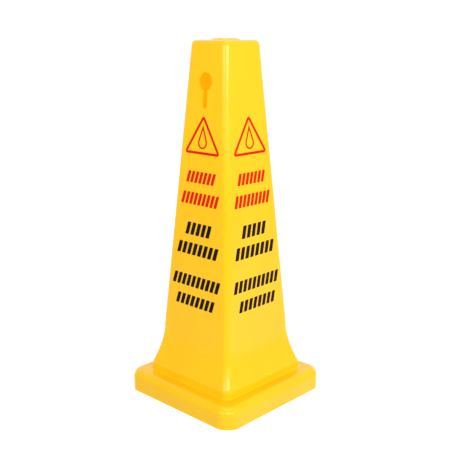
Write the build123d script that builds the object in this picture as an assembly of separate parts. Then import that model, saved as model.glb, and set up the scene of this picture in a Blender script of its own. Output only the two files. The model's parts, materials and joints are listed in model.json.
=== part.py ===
from build123d import *
import os
from math import atan2, cos, degrees, sqrt

# Four-sided wet floor caution cone: one thin-walled yellow moulding, open underneath so that cones nest,
# with a round collared hole in its top deck, a keyhole in the front and back faces for a barrier chain,
# and a red and black print on each of the four faces.
# Millimetres, +Z up. The origin is the centre of the footprint on the floor. Front is -Y, right is +X.

# ---- driving dimensions ----
deck_z = 657.0            # top deck above the floor, without the collar
base_side = 268.0         # the square footprint
wall = 3.0                # moulded wall

# block base: upright sides, cut and rounded corners, a round shoulder, and a flat ledge below the step
base_corner_cut = 17.4    # length that a corner's cut takes off each side
base_corner_r = 20.0      # rounds both ends of the cut
ledge_z = 39.0
shoulder_r = 14.0

# sleeve: four flat faces with rounded corners, straight from the flare up to the deck
sleeve_foot_z = 130.0
sleeve_foot_half = 85.5   # half width at the sleeve's foot
deck_half = 45.0          # half width at the deck, before its edge is rounded
sleeve_corner_r = 12.0
deck_edge_r = 9.0

# flare: below the sleeve's foot the cone widens with the square of the depth
flare_gain = 0.0021       # mm of half width per mm of depth squared
flare_sections = 6
step_top_z = 54.0         # lip where the flare ends; a short upright step drops from it to the ledge
step_corner_r = 14.0
step_lip_r = 6.0
step_foot_r = 1.5

# collared hole in the deck
hole_r = 20.0
collar_foot_r = 27.0
collar_top_r = 22.0
collar_height = 3.0
collar_edge_r = 2.5

# keyhole for a chain link or hook, in the front and back faces
keyhole_z = 587.0         # centre of the round part
keyhole_r = 16.0
keyhole_slot_width = 11.5
keyhole_slot_bottom_z = 540.5

# short upright fins inside the flare that stop nested cones from jamming
fin_thickness = 2.5
fin_offset = 55.0         # either side of each face's middle
fin_inner_half = 88.0     # half width between the tips of opposite fins
fin_top_z = 84.0

# ---- print ----
ink = 0.3                 # build-up of the print on the face
symbol_base_z = 461.0     # rounded triangle, outer size before its corners are rounded
symbol_apex_z = 530.5
symbol_half_width = 45.0
symbol_corner_r = 4.5
symbol_line = 4.6
drop_tip_z = 513.0
drop_centre_z = 481.5
drop_r = 11.0
drop_line = 3.0
# rows of leaning blocks, one row for each printed line: bottom height, row height, half width, blocks
red_rows = [
    (409.5, 21.0, 37.0, 7),
    (370.5, 22.0, 47.5, 9),
]
black_rows = [
    (315.0, 23.0, 33.0, 5),
    (278.5, 22.0, 52.5, 8),
    (219.5, 21.5, 61.0, 10),
    (183.0, 20.5, 50.0, 8),
]
block_share = 0.66        # block width over the pitch of its row
block_lean = 6.0          # how far a block's top stands to the right of its foot
block_corner_r = 1.2

# ---- derived ----
sleeve_height = deck_z - sleeve_foot_z
sleeve_taper = (sleeve_foot_half - deck_half) / sleeve_height
face_tilt = atan2(sleeve_foot_half - deck_half, sleeve_height)


def sleeve_half(z):
    """Half width of the outside at a height, on the sleeve or on the flare."""
    depth = max(sleeve_foot_z - z, 0)
    return sleeve_foot_half + sleeve_taper * (sleeve_foot_z - z) + flare_gain * depth**2


def square_section(z, half, corner_r):
    """A level rounded square."""
    return Pos(0, 0, z) * RectangleRounded(2 * half, 2 * half, corner_r)


def square_block(half, corner_r, low_z, high_z):
    """An upright block on a rounded square."""
    return extrude(square_section(low_z, half, corner_r), high_z - low_z)


def level_edges(shape, z, low_half=0.0, high_half=base_side):
    """The edges that lie level at one height, whose middle is between two half widths."""
    picked = []
    for edge in shape.edges().filter_by_position(Axis.Z, z - 0.01, z + 0.01):
        middle = edge.center()
        if low_half < max(abs(middle.X), abs(middle.Y)) < high_half:
            picked.append(edge)
    return picked


def sleeve(inward, top_z):
    """The straight sleeve with its rounded corners and deck edge, its faces moved inward."""
    foot = 2 * (sleeve_foot_half - inward)
    head = 2 * (sleeve_half(top_z) - inward)
    foot_square = Pos(0, 0, sleeve_foot_z) * Rectangle(foot, foot)
    head_square = Pos(0, 0, top_z) * Rectangle(head, head)
    block = loft([foot_square, head_square])
    corners = [edge for edge in block.edges() if edge.bounding_box().size.Z > 1]
    block = fillet(corners, sleeve_corner_r - inward)
    return fillet(level_edges(block, top_z), deck_edge_r - inward)


def flare(inward, sleeve_solid):
    """The flare from the step's lip up to the foot of a sleeve."""
    pitch = (sleeve_foot_z - step_top_z) / flare_sections
    sections = []
    for i in range(flare_sections):
        z = step_top_z + i * pitch
        sections.append(square_section(z, sleeve_half(z) - inward, step_corner_r - inward))
    sections.append(sleeve_solid.faces().sort_by(Axis.Z)[0])
    return loft(sections)


def base_outline(inward):
    """The base's square with its cut and rounded corners."""
    side = base_side - 2 * inward
    outline = Rectangle(side, side)
    outline = chamfer(outline.vertices(), base_corner_cut - inward * (2 - sqrt(2)))
    return fillet(outline.vertices(), base_corner_r - inward)


def base_and_step(inward):
    """The block base with its shoulder, and the upright step on its ledge."""
    top_z = ledge_z - inward
    step_half = sleeve_half(step_top_z) - inward
    base = extrude(base_outline(inward), top_z)
    base += square_block(step_half, step_corner_r - inward, top_z - 1, step_top_z)
    base = fillet(level_edges(base, top_z, low_half=step_half + 5), shoulder_r - inward)
    return fillet(level_edges(base, top_z, high_half=step_half + 5), step_foot_r)


def cone_form(inward):
    """The cone as if it were solid, with every face moved inward."""
    top_z = deck_z - inward
    upper = sleeve(inward, top_z)
    lower = base_and_step(inward) + flare(inward, upper)
    return fillet(level_edges(lower, step_top_z), step_lip_r) + upper


def upright_cylinder(radius, low_z, high_z):
    """A cylinder on the cone's axis."""
    return extrude(Pos(0, 0, low_z) * Circle(radius), high_z - low_z)


def collar():
    """The low tapered ring round the hole in the deck."""
    ring = Pos(0, 0, deck_z + collar_height / 2) * Cone(collar_foot_r, collar_top_r, collar_height)
    return fillet(level_edges(ring, deck_z + collar_height, low_half=-1), collar_edge_r)


def keyhole():
    """The keyhole's cutter, right through the front and back faces."""
    slot_end_r = keyhole_slot_width / 2
    slot_low_z = keyhole_slot_bottom_z + slot_end_r
    slot_height = keyhole_z - slot_low_z
    outline = Pos(0, keyhole_z) * Circle(keyhole_r)
    outline += Pos(0, slot_low_z + slot_height / 2) * Rectangle(keyhole_slot_width, slot_height)
    outline += Pos(0, slot_low_z) * Circle(slot_end_r)
    return extrude(Plane.XZ * outline, base_side, both=True)


def nesting_fins():
    """Two upright fins on the inside of each face, from the step up into the flare."""
    heights = (step_top_z, (step_top_z + fin_top_z) / 2, fin_top_z)
    outline = [(sleeve_half(z) - wall / 2, z) for z in heights]
    outline += [(fin_inner_half, fin_top_z), (fin_inner_half, step_top_z)]
    profile = make_face(Polyline(*outline, close=True))
    fin = extrude(Plane.XZ * profile, fin_thickness)
    fins = []
    for turn in (0, 90, 180, 270):
        for side in (-fin_offset, fin_offset):
            fins.append(Rot(0, 0, turn) * Pos(0, side + fin_thickness / 2, 0) * fin)
    return fins


def cone_body():
    """The whole moulding."""
    body = cone_form(0) - cone_form(wall)
    for fin in nesting_fins():
        body += fin
    body += collar()
    body -= upright_cylinder(hole_r, deck_z - wall - 1, deck_z + collar_height + 1)
    body -= keyhole()
    return body


def up_the_face(z):
    """Distance up a face from the sleeve's foot to a height."""
    return (z - sleeve_foot_z) / cos(face_tilt)


def front_face():
    """The front face's own plane: X to the right, Y up the slope, origin at the sleeve's foot."""
    foot = Plane(origin=(0, -sleeve_foot_half, sleeve_foot_z), x_dir=(1, 0, 0), z_dir=(0, -1, 0))
    return foot.rotated((-degrees(face_tilt), 0, 0))


def triangle_outline():
    """The outer outline of the hazard triangle."""
    low_y = up_the_face(symbol_base_z)
    corners = Polyline(
        (-symbol_half_width, low_y),
        (symbol_half_width, low_y),
        (0, up_the_face(symbol_apex_z)),
        close=True,
    )
    outline = make_face(corners)
    return fillet(outline.vertices(), symbol_corner_r)


def drop_outline():
    """The outer outline of a water drop: a circle with two tangents up to a tip."""
    centre_y = up_the_face(drop_centre_z)
    rise = up_the_face(drop_tip_z) - centre_y
    touch_x = drop_r * sqrt(1 - (drop_r / rise) ** 2)
    touch_y = centre_y + drop_r**2 / rise
    tangents = Polyline((-touch_x, touch_y), (touch_x, touch_y), (0, centre_y + rise), close=True)
    return make_face(tangents) + Pos(0, centre_y) * Circle(drop_r)


def hazard_symbol():
    """Triangle and drop, both as outlines."""
    triangle = triangle_outline()
    drop = drop_outline()
    return [
        triangle - offset(triangle, amount=-symbol_line),
        drop - offset(drop, amount=-drop_line),
    ]


def leaning_block(left_x, low_y, width, height):
    """A block that leans to the right, with rounded corners."""
    corners = Polyline(
        (left_x, low_y),
        (left_x + width, low_y),
        (left_x + width + block_lean, low_y + height),
        (left_x + block_lean, low_y + height),
        close=True,
    )
    outline = make_face(corners)
    return fillet(outline.vertices(), block_corner_r)


def block_rows(rows):
    """Rows of equal leaning blocks that fill each printed line's length."""
    blocks = []
    for low_z, height, half_width, count in rows:
        pitch = (2 * half_width - block_lean) / (count - 1 + block_share)
        for i in range(count):
            left_x = -half_width + i * pitch
            blocks.append(leaning_block(left_x, up_the_face(low_z), block_share * pitch, height))
    return blocks


def printed(outlines, turn):
    """The ink that outlines leave on one face, as a group of separate solids."""
    solids = []
    for outline in outlines:
        solids += extrude(front_face() * outline, ink).solids()
    return Rot(0, 0, turn) * Compound(children=solids)


os.makedirs("parts", exist_ok=True)
export_step(cone_body(), "parts/cone_body.step")
for turn, face in ((0, "front"), (90, "right"), (180, "back"), (270, "left")):
    export_step(printed(hazard_symbol(), turn), f"parts/{face}_hazard_symbol.step")
    export_step(printed(block_rows(red_rows), turn), f"parts/{face}_red_lines.step")
    export_step(printed(block_rows(black_rows), turn), f"parts/{face}_black_lines.step")
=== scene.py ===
import json
from math import cos, pi, radians, sin

import bpy
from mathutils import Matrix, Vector


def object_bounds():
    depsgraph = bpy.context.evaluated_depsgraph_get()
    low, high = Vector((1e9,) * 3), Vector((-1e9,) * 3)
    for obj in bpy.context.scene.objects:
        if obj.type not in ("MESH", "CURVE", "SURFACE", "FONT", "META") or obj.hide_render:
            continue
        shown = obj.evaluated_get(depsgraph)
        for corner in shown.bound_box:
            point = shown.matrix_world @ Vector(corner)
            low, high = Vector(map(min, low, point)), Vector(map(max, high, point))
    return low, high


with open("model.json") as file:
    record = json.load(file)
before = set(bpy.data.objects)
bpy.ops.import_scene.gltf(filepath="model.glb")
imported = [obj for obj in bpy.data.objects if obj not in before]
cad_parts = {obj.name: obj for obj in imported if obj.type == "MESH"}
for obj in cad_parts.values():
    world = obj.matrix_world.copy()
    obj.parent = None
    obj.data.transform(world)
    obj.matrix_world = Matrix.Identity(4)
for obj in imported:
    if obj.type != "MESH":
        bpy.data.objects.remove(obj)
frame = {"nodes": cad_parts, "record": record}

cad_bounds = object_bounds()
scene = bpy.context.scene

# ---- places in metres, worked out from the frame ----
low, high = cad_bounds
CENTRE = (low + high) / 2
deck_hole = next(mount for mount in frame["record"]["mounts"] if mount["name"] == "deck_hole")
DECK_Z = deck_hole["pos_m"][2]

# ---- the moulding's colours, from 0 to 255 ----
YELLOW = (255, 196, 6)
PALER_YELLOW = (255, 202, 10)         # takes turns with the first in slow patches
FLECK_YELLOW = (250, 190, 5)
SCUFF_YELLOW = (236, 176, 30)
# painted light: this orange stands for light coming through the yellow walls, deep inside the cone
PAINTED_THROUGH_LIGHT_ORANGE = (255, 150, 0)
# colour of the painted glow that stands for light coming through the walls
PAINTED_GLOW_ORANGE = (255, 158, 0)

# ---- the moulding's surface ----
MOULDING_SPECULAR = 0.32
MOULDING_IOR = 1.49
MOULDING_ROUGHNESS = (0.13, 0.18)
INSIDE_AT = (-0.001, -0.004)          # a face's distance from the axis, minus if it faces it: start, full
INSIDE_GLOW = 0.8                     # strength of the glow that stands for light coming through the walls
INSIDE_GLOW_RISE = (0.05, 0.42)       # heights where the painted glow and orange start, and where they are full
INSIDE_DULLNESS = 0.4                 # roughness that the inside has more than the outside
FLECK_SHARE = 0.12                    # how much of the flecks' colour shows
SCUFF_TOP = 0.09                      # scuffs fade out at this height above the floor
SCUFF_DULLNESS = 0.22                 # roughness that a scuff adds
SCUFF_SHARE = 0.35                    # how much of the scuffs' colour shows
WAVE_HEIGHT = 0.0006                  # slow waviness of a thin moulded wall
PEEL_HEIGHT = 0.00003                 # fine grain of the mould's steel

# ---- the prints' ink: its colours where the cover is thick and where it is thin, and its surface ----
RED_INK = ((218, 24, 6), (228, 34, 10))
BLACK_INK = ((24, 8, 6), (36, 16, 12))
INK_SPECULAR = 0.07
INK_ROUGHNESS = (0.38, 0.52)
INK_GRAIN = 0.00002                   # fine grain of the dried ink

# ---- the floor ----
FLOOR_REACH = 12.0
FLOOR_GAP = 0.0002                    # keeps the floor clear of the base's lower edge
FLOOR_GREY = 0.6
FLOOR_ROUGHNESS = 0.9
FLOOR_GLOW = 0.85                     # lifts the floor to the white of the room

# ---- camera: just above the deck, looking down at the front-right corner ----
CAMERA_AZIMUTH = radians(43.8)        # from -Y towards +X
CAMERA_PITCH = radians(13.78)
CAMERA_DISTANCE = 2.118 * DECK_Z
CAMERA_HEIGHT = 1.0112 * DECK_Z
CAMERA_OFFSET = 0.0016 * DECK_Z       # the camera stands this far left of the cone's axis
LENS_MM = 61.8
SENSOR_MM = 36.0

# ---- the pale room's light, by the direction that it comes from ----
FAR_SIDE_LIGHT = 0.50                 # from the side away from the key
KEY_SIDE_LIGHT = 0.66                 # from the key's side
ZENITH_LIGHT = 0.54                   # from straight above or below
ZENITH_RISE = 0.8                     # rise of the directions that count as above or below
BACKDROP_LIGHT = 1.2                  # from the white backdrop behind the cone
BACKDROP_EDGE = (0.1, 0.7)            # how far backwards a direction points, where it starts and is full
ROOM_SEEN = 1.05                      # how bright the room looks in itself
SHEEN_LIGHT = 0.85                    # what gloss also picks up from below, on the key's side
FAR_SIDE_SHEEN = 0.3                  # share of that on the side away from the key
SHEEN_RISE = (-0.10, -0.22)           # rise of the directions where the sheen starts, and where it is full

# ---- lamps: azimuths are in degrees from the camera's, and each side is a square lamp's ----
LAMP_DISTANCE = 2.2                   # from the cone's axis to the soft boxes and the key
KEY_AZIMUTH = 72
KEY_SIDE = 1.3
KEY_HEIGHT = 0.8
KEY_BRIGHTNESS = 2.55
OVERHEAD_SIDE = 1.3
OVERHEAD_HEIGHT = 2.1
OVERHEAD_BRIGHTNESS = 2.2
# soft boxes, each a few bands that dim downwards: azimuth, width,
# and for each band its lower edge, upper edge and brightness
SOFT_BOXES = {
    "box_right": (18, 1.6, [(0.94, 1.40, 10.0), (0.78, 0.94, 3.0), (0.50, 0.78, 1.2)]),
    "box_left": (-42, 1.8, [(0.94, 1.40, 5.8), (0.60, 0.94, 1.3)]),
}


def srgb(colour):
    """A 0-255 colour as linear light, with alpha."""
    linear = []
    for value in colour:
        share = value / 255
        linear.append(share / 12.92 if share <= 0.04045 else ((share + 0.055) / 1.055) ** 2.4)
    return (*linear, 1.0)


def toward(azimuth, distance, height):
    """A point at an azimuth from -Y towards +X, a distance from the axis and a height."""
    return Vector((distance * sin(azimuth), -distance * cos(azimuth), height))


def beside_camera(turn, distance, height):
    """A point at an azimuth in degrees from the camera's, a distance from the axis and a height."""
    return toward(CAMERA_AZIMUTH + radians(turn), distance, height)


# ---- node trees ----
class Nodes:
    """Builds a node tree one node at a time. What feeds a socket is a value or another node's output."""

    def __init__(self, tree):
        self.tree = tree
        self.tree.nodes.clear()

    def add(self, kind, **settings):
        """A new node, with some of its settings changed."""
        node = self.tree.nodes.new(kind)
        for key, value in settings.items():
            setattr(node, key, value)
        return node

    def link(self, source, target):
        """Joins an output to an input."""
        self.tree.links.new(source, target)

    def feed(self, socket, value):
        """Gives a socket a value or another node's output."""
        if hasattr(value, "node"):
            self.link(value, socket)
        else:
            socket.default_value = value

    def finish(self, output_kind, shader):
        """Sends a shader to the tree's output."""
        self.link(shader, self.add(output_kind).inputs["Surface"])

    def position(self):
        """Where the point is on the object, in metres."""
        return self.add("ShaderNodeTexCoord").outputs["Object"]

    def height(self, vector):
        """The Z part of a vector."""
        node = self.add("ShaderNodeSeparateXYZ")
        self.link(vector, node.inputs["Vector"])
        return node.outputs["Z"]

    def noise(self, scale, detail=2.0, roughness=0.5, stretch=(1, 1, 1)):
        """Noise with a feature size of about 1 / scale metres, finer along an axis with more stretch."""
        mapping = self.add("ShaderNodeMapping")
        mapping.inputs["Scale"].default_value = stretch
        self.link(self.position(), mapping.inputs["Vector"])
        node = self.add("ShaderNodeTexNoise")
        node.inputs["Scale"].default_value = scale
        node.inputs["Detail"].default_value = detail
        node.inputs["Roughness"].default_value = roughness
        self.link(mapping.outputs["Vector"], node.inputs["Vector"])
        return node.outputs["Fac"]

    def ramp(self, source, low_at, high_at, low_value=0.0, high_value=1.0, shape="LINEAR"):
        """Maps a stretch of a value to another stretch, clamped."""
        node = self.add("ShaderNodeMapRange", interpolation_type=shape)
        node.inputs["From Min"].default_value = low_at
        node.inputs["From Max"].default_value = high_at
        self.feed(node.inputs["To Min"], low_value)
        self.feed(node.inputs["To Max"], high_value)
        self.link(source, node.inputs["Value"])
        return node.outputs["Result"]

    def math(self, operation, first, second=0.0):
        """A Math node on one or two values."""
        node = self.add("ShaderNodeMath", operation=operation)
        self.feed(node.inputs[0], first)
        self.feed(node.inputs[1], second)
        return node.outputs["Value"]

    def vector_math(self, operation, first, second):
        """A Vector Math node on two vectors."""
        node = self.add("ShaderNodeVectorMath", operation=operation)
        self.feed(node.inputs[0], first)
        self.feed(node.inputs[1], second)
        return node

    def dot(self, first, second):
        """The dot product of two vectors."""
        return self.vector_math("DOT_PRODUCT", first, second).outputs["Value"]

    def mix(self, share, first, second):
        """A colour between two colours."""
        node = self.add("ShaderNodeMix", data_type="RGBA")
        self.link(share, node.inputs["Factor"])
        colour_inputs = [socket for socket in node.inputs if socket.type == "RGBA"]
        self.feed(colour_inputs[0], first)
        self.feed(colour_inputs[1], second)
        return next(socket for socket in node.outputs if socket.type == "RGBA")

    def bump(self, height, distance, before=None):
        """A bump of a real height in metres, on top of an earlier bump if there is one."""
        node = self.add("ShaderNodeBump")
        node.inputs["Distance"].default_value = distance
        self.link(height, node.inputs["Height"])
        if before:
            self.link(before, node.inputs["Normal"])
        return node.outputs["Normal"]


# ---- materials ----
def new_material(name):
    """An empty material and the builder of its node tree."""
    material = bpy.data.materials.new(name)
    material.use_nodes = True
    return material, Nodes(material.node_tree)


def inside_share(n):
    """1 where the surface faces the cone's axis, and 0 on the outside."""
    from_axis = n.vector_math("MULTIPLY", n.position(), (1, 1, 0)).outputs["Vector"]
    normal = n.add("ShaderNodeNewGeometry").outputs["True Normal"]
    return n.ramp(n.dot(from_axis, normal), *INSIDE_AT)


def scuff_share(n, height):
    """1 on the worst scuffs, which are level streaks near the floor, and 0 where there are none."""
    streak = n.ramp(n.noise(scale=55.0, detail=4.0, roughness=0.7, stretch=(1, 1, 6)), 0.56, 0.74)
    return n.math("MULTIPLY", streak, n.ramp(height, SCUFF_TOP, 0.0))


def moulding_colour(n, scuff, painted_through_light):
    """Two yellows in slow patches, with fine flecks, scuffs and a painted orange deep inside that stands
    for light coming through the walls.
    """
    patches = n.ramp(n.noise(scale=9.0, detail=3.0, roughness=0.55, stretch=(1, 1, 0.45)), 0.35, 0.65)
    colour = n.mix(patches, srgb(YELLOW), srgb(PALER_YELLOW))
    flecks = n.ramp(n.noise(scale=160.0), 0.3, 0.7, 0.0, FLECK_SHARE)
    colour = n.mix(flecks, colour, srgb(FLECK_YELLOW))
    colour = n.mix(n.math("MULTIPLY", scuff, SCUFF_SHARE), colour, srgb(SCUFF_YELLOW))
    return n.mix(painted_through_light, colour, srgb(PAINTED_THROUGH_LIGHT_ORANGE))


def moulding_roughness(n, scuff, inside):
    """A gloss that varies a little, duller on scuffs and on the inside."""
    gloss = n.ramp(n.noise(scale=38.0, detail=3.0, roughness=0.6), 0.3, 0.7, *MOULDING_ROUGHNESS)
    scuffed = n.math("ADD", gloss, n.math("MULTIPLY", scuff, SCUFF_DULLNESS))
    return n.math("ADD", scuffed, n.math("MULTIPLY", inside, INSIDE_DULLNESS))


def moulding_material():
    """Glossy yellow plastic: scuffed near the floor, and painted orange and glowing deep inside, standing
    for light coming through the walls.
    """
    material, n = new_material("yellow_polypropylene")
    shader = n.add("ShaderNodeBsdfPrincipled")
    height = n.height(n.position())
    inside = inside_share(n)
    # painted light: how much the inside is coloured orange and glows, standing for light coming through
    # the walls
    painted_through_light = n.math("MULTIPLY", inside, n.ramp(height, *INSIDE_GLOW_RISE))
    scuff = scuff_share(n, height)
    wave = n.bump(n.noise(scale=14.0, detail=1.0), WAVE_HEIGHT)
    peel = n.bump(n.noise(scale=420.0), PEEL_HEIGHT, before=wave)

    n.link(moulding_colour(n, scuff, painted_through_light), shader.inputs["Base Color"])
    n.link(moulding_roughness(n, scuff, inside), shader.inputs["Roughness"])
    n.link(peel, shader.inputs["Normal"])
    # painted glow: the inside shines as if lit through the walls, though it is no lamp
    n.link(n.math("MULTIPLY", painted_through_light, INSIDE_GLOW), shader.inputs["Emission Strength"])
    shader.inputs["Emission Color"].default_value = srgb(PAINTED_GLOW_ORANGE)
    shader.inputs["IOR"].default_value = MOULDING_IOR
    shader.inputs["Specular IOR Level"].default_value = MOULDING_SPECULAR
    n.finish("ShaderNodeOutputMaterial", shader.outputs["BSDF"])
    return material


def ink_material(name, thick, thin):
    """Satin screen-print ink, a little uneven in cover."""
    material, n = new_material(name)
    shader = n.add("ShaderNodeBsdfPrincipled")
    cover = n.ramp(n.noise(scale=260.0, detail=3.0, roughness=0.6), 0.35, 0.7)
    n.link(n.mix(cover, srgb(thick), srgb(thin)), shader.inputs["Base Color"])
    n.link(n.ramp(n.noise(scale=90.0), 0.3, 0.7, *INK_ROUGHNESS), shader.inputs["Roughness"])
    n.link(n.bump(n.noise(scale=700.0), INK_GRAIN), shader.inputs["Normal"])
    shader.inputs["Specular IOR Level"].default_value = INK_SPECULAR
    n.finish("ShaderNodeOutputMaterial", shader.outputs["BSDF"])
    return material


def dress_cad_nodes():
    """Gives each CAD node the material of its slot."""
    materials = {
        "moulding": moulding_material(),
        "red_print": ink_material("red_ink", *RED_INK),
        "black_print": ink_material("black_ink", *BLACK_INK),
    }
    slots = {part["node"]: part["material_slot"] for part in frame["record"]["subparts"]}
    for name, node in frame["nodes"].items():
        for slot in node.material_slots:
            slot.material = materials[slots[name]]


# ---- surroundings ----
def floor_material():
    """Matt and pale, with a little light of its own."""
    material, n = new_material("pale_floor")
    shader = n.add("ShaderNodeBsdfPrincipled")
    shader.inputs["Base Color"].default_value = (FLOOR_GREY, FLOOR_GREY, FLOOR_GREY, 1)
    shader.inputs["Roughness"].default_value = FLOOR_ROUGHNESS
    shader.inputs["Specular IOR Level"].default_value = 0.0
    shader.inputs["Emission Color"].default_value = (1, 1, 1, 1)
    shader.inputs["Emission Strength"].default_value = FLOOR_GLOW
    n.finish("ShaderNodeOutputMaterial", shader.outputs["BSDF"])
    return material


def stage():
    """A pale floor that runs far past the view. The cone neither mirrors it nor takes light from it."""
    mesh = bpy.data.meshes.new("floor")
    z = low.z - FLOOR_GAP
    corners = [(x * FLOOR_REACH, y * FLOOR_REACH, z) for x, y in ((-1, -1), (1, -1), (1, 1), (-1, 1))]
    mesh.from_pydata(corners, [], [(0, 1, 2, 3)])
    mesh.materials.append(floor_material())
    floor = bpy.data.objects.new("floor", mesh)
    floor.visible_diffuse = False
    floor.visible_glossy = False
    scene.collection.objects.link(floor)


def room():
    """The pale room and its backdrop, brighter on the key's side, and white where it is seen itself."""
    world = bpy.data.worlds.new("room")
    world.use_nodes = True
    n = Nodes(world.node_tree)
    direction = n.add("ShaderNodeTexCoord").outputs["Generated"]
    path = n.add("ShaderNodeLightPath")
    rise = n.height(direction)
    key_side = n.dot(direction, beside_camera(KEY_AZIMUTH, 1.0, 0.0))
    backwards = n.dot(direction, -beside_camera(0, 1.0, 0.0))

    horizon = n.ramp(key_side, -1.0, 1.0, FAR_SIDE_LIGHT, KEY_SIDE_LIGHT)
    around = n.ramp(n.math("ABSOLUTE", rise), 0.0, ZENITH_RISE, horizon, ZENITH_LIGHT)
    light = n.ramp(backwards, *BACKDROP_EDGE, around, BACKDROP_LIGHT)

    # the floor isn't in the gloss, so a sheen below the horizon stands in for it
    sheen = n.ramp(rise, *SHEEN_RISE, 0.0, SHEEN_LIGHT, shape="SMOOTHSTEP")
    sheen = n.math("MULTIPLY", sheen, n.ramp(key_side, -1.0, 1.0, FAR_SIDE_SHEEN, 1.0))
    light = n.math("ADD", light, n.math("MULTIPLY", sheen, path.outputs["Is Glossy Ray"]))

    background = n.add("ShaderNodeBackground")
    background.inputs["Color"].default_value = (1, 1, 1, 1)
    strength = n.ramp(path.outputs["Is Camera Ray"], 0.0, 1.0, light, ROOM_SEEN)
    n.link(strength, background.inputs["Strength"])
    n.finish("ShaderNodeOutputWorld", background.outputs["Background"])
    scene.world = world


def soft_box(name, place, target, width, height, brightness):
    """A rectangular area light aimed at a point, as bright as a surface of that radiance."""
    light = bpy.data.lights.new(name, "AREA")
    light.shape = "RECTANGLE"
    light.size = width
    light.size_y = height
    light.energy = brightness * pi * width * height
    lamp = bpy.data.objects.new(name, light)
    lamp.location = place
    lamp.rotation_euler = (target - place).to_track_quat("-Z", "Y").to_euler()
    scene.collection.objects.link(lamp)
    return lamp


def lights():
    """Banded soft boxes on both sides of the camera, a key on the right face and a shine from overhead."""
    for name, (turn, width, bands) in SOFT_BOXES.items():
        for low_edge, high_edge, brightness in bands:
            middle = (low_edge + high_edge) / 2
            place = beside_camera(turn, LAMP_DISTANCE, middle)
            soft_box(name, place, Vector((0, 0, middle)), width, high_edge - low_edge, brightness)

    place = beside_camera(KEY_AZIMUTH, LAMP_DISTANCE, KEY_HEIGHT)
    key = soft_box("key", place, CENTRE, KEY_SIDE, KEY_SIDE, KEY_BRIGHTNESS)
    key.visible_glossy = False

    place = Vector((0, 0, OVERHEAD_HEIGHT))
    overhead = soft_box("overhead", place, Vector(), OVERHEAD_SIDE, OVERHEAD_SIDE, OVERHEAD_BRIGHTNESS)
    overhead.visible_diffuse = False


def camera():
    """The camera at the view that the sign is known by."""
    data = bpy.data.cameras.new("camera")
    data.lens = LENS_MM
    data.sensor_width = SENSOR_MM
    view = bpy.data.objects.new("camera", data)
    left = Vector((-cos(CAMERA_AZIMUTH), -sin(CAMERA_AZIMUTH), 0))
    view.location = toward(CAMERA_AZIMUTH, CAMERA_DISTANCE, CAMERA_HEIGHT) + CAMERA_OFFSET * left
    view.rotation_euler = (radians(90) - CAMERA_PITCH, 0, CAMERA_AZIMUTH)
    scene.collection.objects.link(view)
    scene.camera = view


camera()
dress_cad_nodes()
stage()
room()
lights()
scene.view_settings.view_transform = "Standard"
